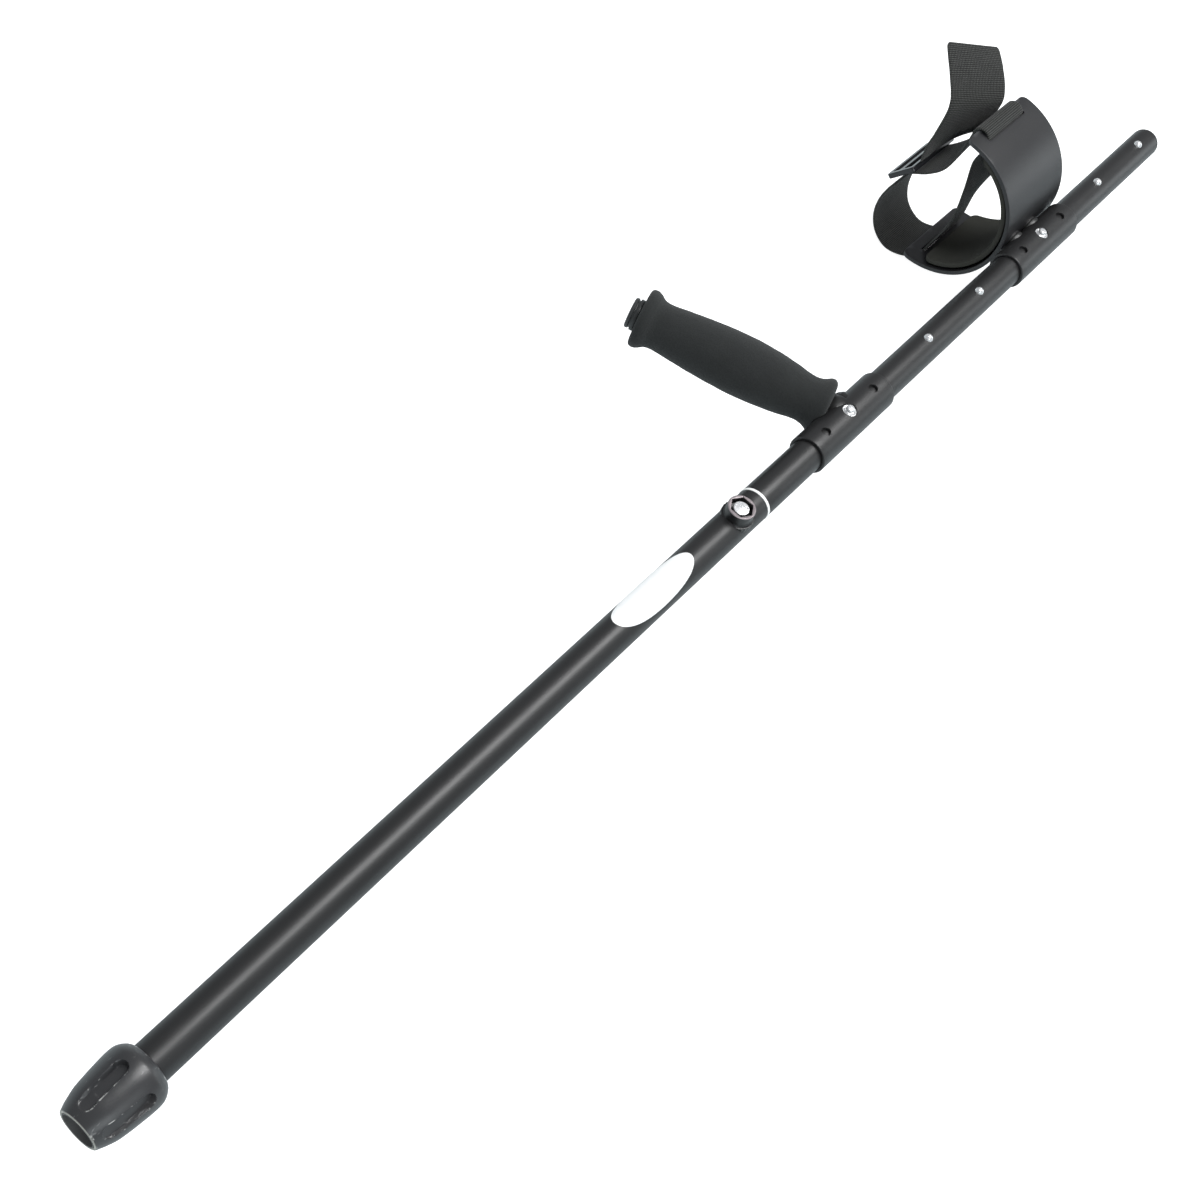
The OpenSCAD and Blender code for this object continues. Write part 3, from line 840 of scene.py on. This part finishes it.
def grip_foam_piece():
    """Foam sleeve with rolled lips at both ends and a fuller middle that sits a little to the rear."""
    start, end = 14.5 * MM, along_post("grip_foam")[1]
    reach = end - start
    near_lip = [(0, 15.3), (0.3, 17.4), (2.3, 19.3), (5.2, 19.1), (8.4, 17.3), (12, 16)]
    palm = [(18, 15.7), (29, 17.5), (41, 18.9), (59, 20), (77, 19.6), (94, 18.4), (108, 17), (119, 16)]
    far_lip = [(124, 16.6), (127.5, 18.8), (130.5, 20), (133.4, 19.7), (134.8, 18.2), (135, 15.8)]
    side = near_lip + palm + far_lip
    scale = reach / (side[-1][0] * MM)
    outer = [(start + p[0] * MM * scale, p[1] * MM) for p in curve_through(side, 7)]
    bore = POST_R + 0.1 * MM
    outline = [(start, bore)] + outer + [(end, bore)]
    fine, coarse = 0.10 * MM, 0.16 * MM

    def pores(x, radius, angle):
        """Leaves the bore smooth and roughens the skin."""
        if radius < 12 * MM:
            return radius
        p = Vector((x * 900, math.cos(angle) * 14, math.sin(angle) * 14))
        return radius + fine * noise.noise(p * 0.9) + coarse * noise.noise(p * 0.22)

    obj = lathe("grip_foam_skin", outline, 160, ON_POST, pores)
    rearward = Vector((1, 0, 0)) * 0.6 * MM
    fullest = 1.15
    for v in obj.data.vertices:
        share = ((v.co - POST_FOOT).dot(POST_AXIS) - start) / reach
        v.co += rearward * math.sin(math.pi * min(max(share * fullest, 0), 1))
    low, high, _ = size("handle_sleeve")
    clear, beyond = 0.3 * MM, 9 * MM
    boolean(obj, rod(low.x - beyond, high.x + beyond, SLEEVE_R + clear, 96), "DIFFERENCE")
    smooth(obj.data, 50)
    finish(obj, "handle", FOAM, ["grip_foam"])


def grip_cap_piece():
    """Two rims with a groove between them, a dished face and a rounded edge."""
    top = along_post("grip_cap")[1]
    face = along_post("handle_post")[1]
    cap, outer_cap = 10.8 * MM, 10.4 * MM
    stem_end = face - 12 * MM
    rim_start, rim_end = face + 2.6 * MM, face + 5.2 * MM
    stem = [(stem_end, 0), (stem_end, STEM_R - 0.6 * MM), (stem_end + 1 * MM, STEM_R), (face, STEM_R)]
    inner_rim = [(face, POST_R), (rim_start, POST_R), (rim_start, cap), (rim_end, cap)]
    groove = [(rim_end + 0.1 * MM, POST_R), (rim_end + 1.1 * MM, POST_R)]
    outer_rim = [(rim_end + 1.2 * MM, outer_cap - 0.3 * MM), (rim_end + 1.6 * MM, outer_cap),
                 (top - 1 * MM, outer_cap), (top - 0.4 * MM, outer_cap - 0.3 * MM),
                 (top, outer_cap - 1 * MM)]
    dish = [(top, 7.6 * MM), (top - 0.5 * MM, 7.0 * MM), (top - 0.6 * MM, 0)]
    obj = lathe("grip_cap_skin", stem + inner_rim + groove + outer_rim + dish, 96, ON_POST)
    bevel(obj, 0.25 * MM, 2, 40)
    finish(obj, "handle", CAP, ["grip_cap"])


def handle_foot():
    """The welded foot: a rounded lug under the grip with a web running back along the sleeve."""
    lug_r, weld = 10.6 * MM, 1.5 * MM
    lug_top, stem_top = 17.2 * MM, 30 * MM
    outline = [(0, 0), (0, lug_r + weld), (10 * MM, lug_r + weld), (12.4 * MM, lug_r + 0.9 * MM),
               (14 * MM, lug_r), (lug_top - 1 * MM, lug_r), (lug_top - 0.3 * MM, lug_r - 0.3 * MM),
               (lug_top, lug_r - 1 * MM), (lug_top, STEM_R), (stem_top, STEM_R), (stem_top, 0)]
    lug = lathe("handle_foot_skin", outline, 96, ON_POST)
    web_place = across_shaft(POST_FOOT.x + 4 * MM)
    web_outline = [(0, 0), (0, 12 * MM), (12.5 * MM, 10.0 * MM), (15 * MM, 7.8 * MM), (16.4 * MM, 5.2 * MM),
                   (17 * MM, 0)]
    boolean(lug, lathe("web", web_outline, 96, web_place), "UNION")
    half, large = 45 * MM, 60 * MM
    boolean(lug, rod(POST_FOOT.x - half, POST_FOOT.x + half, SLEEVE_R), "DIFFERENCE")
    boolean(lug, rod(-large, 0, large, 8, web_place), "DIFFERENCE")
    bevel(lug, 0.5 * MM, 3, 28)
    finish(lug, "handle", FITTING, ["handle_boss"])


# --- forearm cuff ---


def inside(p, loop):
    """Whether a flat point is inside a closed loop, from how many of its edges lie beyond the point."""
    hit = False
    for i in range(len(loop)):
        a, b = loop[i - 1], loop[i]
        if (a[1] > p[1]) != (b[1] > p[1]):
            if p[0] < (b[0] - a[0]) * (p[1] - a[1]) / (b[1] - a[1]) + a[0]:
                hit = not hit
    return hit


def sheet(name, outline, holes, pitch, to_space):
    """A flat sheet with holes, filled with small triangles and mapped into space by to_space(s, x)."""
    near = pitch * 0.6
    loops = [outline] + holes
    points, edges = [], []
    for loop in loops:
        first = len(points)
        points += [Vector(p) for p in loop]
        edges += [(first + i, first + (i + 1) % len(loop)) for i in range(len(loop))]
    low = [min(p[i] for p in outline) for i in (0, 1)]
    high = [max(p[i] for p in outline) for i in (0, 1)]

    def free(p):
        return inside(p, outline) and not any(inside(p, h) for h in holes)

    corners = [q for loop in loops for q in loop]
    for s in np.arange(low[0] + pitch / 2, high[0], pitch):
        for x in np.arange(low[1] + pitch / 2, high[1], pitch):
            if free((s, x)) and min(abs(s - q[0]) + abs(x - q[1]) for q in corners) > near:
                points.append(Vector((s, x)))
    verts, _, faces, *_ = geometry.delaunay_2d_cdt(points, edges, [], 1, SAME_PLACE)
    kept = []
    for f in faces:
        centre = sum((verts[i] for i in f), Vector((0, 0))) / len(f)
        if free(centre):
            kept.append(tuple(f))
    return add_mesh(name, [to_space(v[0], v[1]) for v in verts], kept)


def round_box(half_s, half_x, radius, centre=(0, 0), pitch=3 * MM):
    """A rounded rectangle in the flat sheet, with points no further apart than the pitch."""
    s, x = centre
    left, right, low, high = s - half_s, s + half_s, x - half_x, x + half_x
    loop = rounded([(left, low), (right, low), (right, high), (left, high)], radius, 6)
    result = []
    for i, p in enumerate(loop):
        q = loop[(i + 1) % len(loop)]
        count = max(1, math.ceil(math.dist(p, q) / pitch))
        for k in range(count):
            result.append((p[0] + (q[0] - p[0]) * k / count, p[1] + (q[1] - p[1]) * k / count))
    return result


def on_trough(radius):
    """Maps arc length s (0 at the bottom) and x to the half-round trough with straight sides."""
    quarter = radius * math.pi / 2

    def place(s, x):
        side = 1 if s > 0 else -1
        rise = abs(s) - quarter
        if rise > 0:
            return Vector((x, CUFF_AXIS_Y + rise, side * radius))
        a = s / radius
        return Vector((x, CUFF_AXIS_Y - radius * math.cos(a), radius * math.sin(a)))

    return place


def thicken(obj, thickness):
    """Gives a sheet its thickness, half to each side."""
    mod = obj.modifiers.new("thickness", "SOLIDIFY")
    mod.thickness = thickness
    mod.offset = 0
    mod.use_even_offset = True
    return bake(obj)


def cuff_shell_piece():
    """Heat-formed sheet with rounded corners and a slot near each tip for the strap."""
    middle = CUFF_R - CUFF_T / 2
    quarter = middle * math.pi / 2
    tip = quarter + CUFF_HIGH.y - CUFF_AXIS_Y
    slot = quarter + CUFF_HIGH.y - 9.5 * MM - CUFF_AXIS_Y
    slot_half, slot_reach, slot_corner = 1.6 * MM, STRAP_W / 2 + 0.8 * MM, 1.5 * MM
    x = CUFF_MID.x
    outline = round_box(tip, (CUFF_HIGH.x - CUFF_LOW.x) / 2, 6 * MM, (0, x))
    slots = [round_box(slot_half, slot_reach, slot_corner, (side * slot, x), 2 * MM) for side in (-1, 1)]
    obj = sheet("cuff_shell_skin", outline, slots, 2.6 * MM, on_trough(middle))
    thicken(obj, CUFF_T)
    bevel(obj, 0.7 * MM, 3, 45)
    finish(obj, "cuff", SHEET, ["cuff_shell"])


def cuff_pad_piece():
    """Foam liner: soft rounded edges and a slightly uneven, glued-down surface."""
    low, high, centre = size("cuff_pad")
    outer = high.z
    thickness = 3.8 * MM
    middle = outer - thickness / 2
    reach = middle * math.pi / 2 + high.y - CUFF_AXIS_Y
    outline = round_box(reach, (high.x - low.x) / 2, 7 * MM, (0, centre.x))
    obj = sheet("cuff_pad_skin", outline, [], 2.8 * MM, on_trough(middle))
    thicken(obj, thickness)
    bevel(obj, 1.4 * MM, 4, 45)
    unevenness = 0.35 * MM
    for v in obj.data.vertices:
        axis = Vector((v.co.x, CUFF_AXIS_Y, 0))
        inward = (axis - v.co).normalized()
        from_axis = (axis - v.co).length
        if v.co.y < CUFF_AXIS_Y and from_axis < middle:
            v.co += inward * unevenness * noise.noise(v.co * 45)
    finish(obj, "cuff", LINER, ["cuff_pad"])


def saddles():
    """Two turned spacers between the sleeve and the shell, with a rolled rim."""
    low, high, _ = size("cuff_saddles")
    radius = (high.z - low.z) / 2
    spacing = (high.x - low.x) / 2 - radius
    foot, rim, top, bore, neck = 5 * MM, 12.6 * MM, 15.4 * MM, 2 * MM, radius - 0.5 * MM
    body = [(foot, bore), (foot, radius), (rim, radius), (rim + 0.8 * MM, neck), (top, neck), (top, bore)]
    reach = 30 * MM
    shell_place = Matrix.Translation((0, CUFF_AXIS_Y, 0))
    for name, side in (("cuff_saddle_low", -1), ("cuff_saddle_high", 1)):
        x = CUFF_BUTTON_X + side * spacing
        obj = lathe(name, rounded(body, 0.3 * MM, 3), 72, across_shaft(x))
        boolean(obj, rod(x - reach, x + reach, SLEEVE_R), "DIFFERENCE")
        boolean(obj, rod(x - reach, x + reach, CUFF_R, 256, shell_place), "DIFFERENCE")
        bevel(obj, 0.35 * MM, 2, 35)
        finish(obj, "cuff", FITTING, ["cuff_saddles"])


# --- strap ---


def band_section():
    """The webbing's cross-section: flat faces and rounded edges."""
    half, thick = STRAP_W / 2, STRAP_T / 2
    columns = 28
    edge = 0.45 * MM
    face = [((half - edge) * (2 * i / columns - 1), thick) for i in range(columns + 1)]
    rim = [(half - edge + edge * math.sin(a), thick * math.cos(a)) for a in np.linspace(0, math.pi, 7)[1:-1]]
    return face + rim + [(u, -v) for u, v in reversed(face)] + [(-u, -v) for u, v in rim]


def band(name, path, steps):
    """Webbing swept along (x, y, z, tilt) stations, with cut ends drawn in a little and UVs in metres.

    With no tilt the band lies as level along X as its path allows. The tilt, in degrees, turns it about its
    path.
    """
    stations = curve_through([(x * MM, y * MM, z * MM, math.radians(t)) for x, y, z, t in path], steps)
    ring = band_section()
    count = len(ring)
    ripple, ripples_along, ripples_across = 0.06 * MM, 260, 60
    drawn_in, drawn_in_stations = 0.06, 3
    points, lengths, travelled = [], [], 0.0
    for i, s in enumerate(stations):
        before, after = stations[max(i - 1, 0)], stations[min(i + 1, len(stations) - 1)]
        along = Vector([after[j] - before[j] for j in range(3)]).normalized()
        level = (Vector((1, 0, 0)) - along * along.x).normalized()
        across = level * math.cos(s[3]) + along.cross(level) * math.sin(s[3])
        up = across.cross(along)
        if i:
            travelled += math.dist(s[:3], stations[i - 1][:3])
        lengths.append(travelled)
        to_end = len(stations) - 1 - i
        shrink = 1 - drawn_in * max(0, 1 - to_end / drawn_in_stations) ** 2
        for u, v in ring:
            wave = ripple * math.sin(travelled * ripples_along + u * ripples_across)
            points.append(Vector(s[:3]) + across * u * shrink + up * (v * shrink + wave))
    faces = strip_faces(len(stations), count)
    faces.append(tuple(range(count)))
    faces.append(tuple(range(len(points) - count, len(points))))
    mesh = bpy.data.meshes.new(name)
    mesh.from_pydata([tuple(p) for p in points], [], faces)
    layer = mesh.uv_layers.new(name="UVMap")
    for loop in mesh.loops:
        station, place = divmod(loop.vertex_index, count)
        layer.data[loop.index].uv = (ring[place][0] + 1, lengths[station])
    smooth(mesh, 60, merge=False)
    return link(bpy.data.objects.new(name, mesh))


def arm_strap():
    """From the buckle over the near tip, in through the near slot, across, out through the far slot and back.

    Stations are (y, z, tilt) in millimetres and degrees.
    """
    wall, out = 57, 60.6
    to_tip = [(103.4, -5.5, 0), (94, 3.5, 3), (85.5, 16, 5), (80, 36, 2), (78.4, 51, 0)]
    over_tip = [(78.2, wall + 0.4, 0), (75, out, 0), (70, out, 0), (66.5, wall, 0)]
    across = [(65, 50, 0), (62.5, 34, 12), (61.5, 8, 2), (62.5, -20, -7), (65, -49, 0)]
    far_loop = [(66.5, -wall, 0), (69, -out - 1.5, 0), (79, -71.5, 0), (93, -75.5, 0), (106, -69.5, 0)]
    to_buckle = [(113.5, -58, 0), (115.8, -44, 0), (113.5, -30, 0), (111.2, -24, 0)]
    path = to_tip + over_tip + across + far_loop + to_buckle
    x = CUFF_MID.x
    obj = band("arm_strap_skin", [(x / MM, *station) for station in path], 14)
    bend = ("buckle", (x, 84 * MM, 0), (x, 101 * MM, 0))
    finish(obj, "cuff", WEBBING, ["arm_strap"], bend)


def strap_tail():
    """The loose end beyond the buckle, twisting as it rises. Stations are (along, y, z, tilt)."""
    path = [(0, 102, 8, 0), (0, 98, 20, -14), (0, 94, 32, -22), (0, 93, 45, -24), (1, 93.5, 56, -24),
            (4.5, 98, 64, -18), (11, 108.5, 73, -12), (19.5, 121.5, 81, -6)]
    centre = CUFF_MID.x / MM
    obj = band("strap_tail_skin", [(centre + along, *rest) for along, *rest in path], 12)
    finish(obj, "tail", WEBBING, ["strap_tail"])


def buckle():
    """Moulded slide: rounded frame with two windows either side of a middle bar."""
    low, high, centre = size("strap_buckle")
    half_l, half_w, bar = (high.x - low.x) / 2, 12.5 * MM, 4.2 * MM
    window_w, window_l = (half_w * 2 - 3 * bar) / 4, STRAP_W / 2 + 1 * MM
    offset = window_w + bar / 2
    outline = round_box(half_w, half_l, 3 * MM, (0, centre.x))
    windows = [round_box(window_w, window_l, 1.2 * MM, (side * offset, centre.x), 2 * MM) for side in (-1, 1)]
    tilt = math.radians(37)
    across = Vector((0, -math.sin(tilt), math.cos(tilt)))

    def place(s, x):
        return Vector((x, centre.y, centre.z)) + across * s

    obj = sheet("strap_buckle_skin", outline, windows, 2.2 * MM, place)
    thicken(obj, 4 * MM)
    bevel(obj, 1.1 * MM, 4, 45)
    finish(obj, "buckle", BUCKLE, ["strap_buckle"])


# --- leaf springs inside the tube ---



def leaf_spring(number, button_body, x, arm):
    """A folded strip: its foot lies in the tube and its free arm rises under the button it carries.

    Arm is the height of the button's underside in millimetres.
    """
    foot = -7.1
    flat_foot = [(10, foot), (0, foot), (-12, foot), (-22, foot)]
    fold = [(-25.2, foot + 0.15), (-26, foot + 0.9), (-25, foot + 1.9), (-21, foot + 4.3)]
    free_arm = [(-9, arm - 2.6), (-6, arm - 1), (-3.5, arm - 0.3), (4, arm - 0.3)]
    line = curve_through([(px * MM, pz * MM) for px, pz in flat_foot + fold + free_arm], 6)
    half_w, half_t = 2.5 * MM, 0.28 * MM
    corners = ((-half_w, -1), (half_w, -1), (half_w, 1), (-half_w, 1))
    points = []
    for i, p in enumerate(line):
        along = (line[min(i + 1, len(line) - 1)] - line[max(i - 1, 0)]).normalized()
        up = Vector((-along.y, along.x)) * half_t
        for y, side in corners:
            points.append((x + p.x + up.x * side, y, p.y + up.y * side))
    faces = strip_faces(len(line), 4)
    faces += [(3, 2, 1, 0), tuple(range(len(points) - 4, len(points)))]
    obj = add_mesh(f"snap_spring_{number}", points, faces)
    bevel(obj, 0.12 * MM, 2, 50)
    bend = (button_body, (x, 0, (foot + 1) * MM), (x, 0, (arm - 0.8) * MM))
    finish(obj, "upper_section", SPRING, ["snap_springs"], bend)


def leaf_springs():
    """One spring under each button and one under the joint's catch."""
    arm_small, arm_large, arm_joint = 6.9, 6.1, 4.9
    for number, x in enumerate(INDEX_X, 1):
        leaf_spring(number, f"spare_button_{number}", x, arm_small)
    leaf_spring(5, "handle_snap", HANDLE_X, arm_large)
    leaf_spring(6, "cuff_snap", CUFF_BUTTON_X, arm_large)
    leaf_spring(7, "catch", CATCH_X, arm_joint)


# --- CAD pieces that keep their own shape ---


def dress(node, material):
    """Gives a CAD node its finish."""
    obj = frame["nodes"][node]
    obj.data.materials.clear()
    obj.data.materials.append(material)


lower_tube()
upper_tube()
sliding_sleeve("handle_sleeve_skin", "handle_sleeve", "handle", HANDLE_X)
sliding_sleeve("cuff_sleeve_skin", "cuff_sleeve", "cuff", CUFF_BUTTON_X)
white_ring()
end_plug()
for button_number in (1, 2, 3, 4):
    index_button(button_number)
sleeve_button("handle_button", "handle_snap")
sleeve_button("cuff_button", "cuff_snap")
label()
lock_nut()
joint_boss()
joint_button()
grip_foam_piece()
grip_cap_piece()
handle_foot()
cuff_shell_piece()
cuff_pad_piece()
saddles()
arm_strap()
strap_tail()
buckle()
leaf_springs()
dress("collet", COLLET)
dress("clamp_ring", CLAMP)
dress("joint_catch", STEEL)
dress("joint_spigot", SPIGOT)
dress("handle_post", POST)
dress("cuff_screws", SCREW)


# --- stage ---


def floor():
    """A pale floor that the camera sees as near-white and the object reflects as a cool grey."""
    z = cad_bounds[0].z - 0.5 * MM
    s = Shader("floor", (0.5, 0.5, 0.5), 0.9)
    path = s.node("LightPath")
    grey = s.node("BsdfDiffuse", {"Color": (0.55, 0.6, 0.61, 1)})
    glow = s.node("Emission", {"Color": (1, 1, 1, 1), "Strength": 0.86})
    lit = s.node("AddShader", {0: s.bsdf.outputs[0], 1: glow.outputs[0]})
    both = s.node("MixShader", {0: path.outputs["Is Camera Ray"], 1: grey.outputs[0], 2: lit.outputs[0]})
    s.tree.links.new(both.outputs[0], s.tree.nodes["Material Output"].inputs["Surface"])
    half = 14
    corners = [(-half, -half, z), (half, -half, z), (half, half, z), (-half, half, z)]
    mesh = bpy.data.meshes.new("floor")
    mesh.from_pydata(corners, [], [(0, 1, 2, 3)])
    mesh.materials.append(s.material)
    link(bpy.data.objects.new("floor", mesh))


def world():
    """White to the camera, even pale light on rough surfaces and a dimmer grey in reflections."""
    w = bpy.data.worlds.new("studio")
    w.use_nodes = True
    bpy.context.scene.world = w
    tree = w.node_tree
    path = tree.nodes.new("ShaderNodeLightPath")
    back = tree.nodes["Background"]
    seen = tree.nodes.new("ShaderNodeBackground")
    seen.inputs[0].default_value = (1, 1, 1, 1)
    seen.inputs[1].default_value = 1.0
    back.inputs[0].default_value = (0.92, 0.96, 1.0, 1)
    level = tree.nodes.new("ShaderNodeMapRange")
    reflected, diffuse = 0.34, 0.7
    level.inputs["To Min"].default_value = reflected
    level.inputs["To Max"].default_value = diffuse
    tree.links.new(path.outputs["Is Diffuse Ray"], level.inputs["Value"])
    tree.links.new(level.outputs[0], back.inputs[1])
    mix = tree.nodes.new("ShaderNodeMixShader")
    tree.links.new(path.outputs["Is Camera Ray"], mix.inputs[0])
    tree.links.new(back.outputs[0], mix.inputs[1])
    tree.links.new(seen.outputs[0], mix.inputs[2])
    tree.links.new(mix.outputs[0], tree.nodes["World Output"].inputs[0])


def softbox(name, place, target, length, width, power, color=(1, 1, 1)):
    """A rectangular light whose long side runs along the shaft."""
    data = bpy.data.lights.new(name, "AREA")
    data.shape = "RECTANGLE"
    data.size = length
    data.size_y = width
    data.energy = power
    data.color = color
    obj = link(bpy.data.objects.new(name, data))
    back = (Vector(place) - Vector(target)).normalized()
    side = Vector((1, 0, 0))
    side = (side - back * side.dot(back)).normalized()
    up = back.cross(side)
    obj.matrix_world = Matrix.Translation(place) @ Matrix((side, up, back)).transposed().to_4x4()


def camera():
    """Looks down on the shaft from the nut's end, as the photograph does."""
    data = bpy.data.cameras.new("camera")
    data.lens = 52.5
    data.sensor_width = 36
    obj = link(bpy.data.objects.new("camera", data))
    eye = Vector((-0.166, -0.161, 0.810))
    look = Vector((0.5647, 0.180, -0.805)).normalized()
    right = Vector((0.6127, -0.745, 0.263))
    right = (right - look * right.dot(look)).normalized()
    up = right.cross(look)
    obj.matrix_world = Matrix.Translation(eye) @ Matrix((right, up, -look)).transposed().to_4x4()
    bpy.context.scene.camera = obj


floor()
world()
softbox("key", (1.05, -0.29, 1.5), (0.55, 0.0, 0.0), 1.5, 0.62, 26)
softbox("low", (2.4, -1.1, 0.45), (0.8, 0.0, 0.0), 1.3, 0.7, 5, (0.93, 0.98, 1.0))
softbox("fill", (-0.6, -1.6, 1.1), (0.5, 0.0, 0.0), 1.6, 0.8, 10, (0.9, 0.97, 1.0))
camera()
bpy.context.scene.view_settings.view_transform = "Standard"
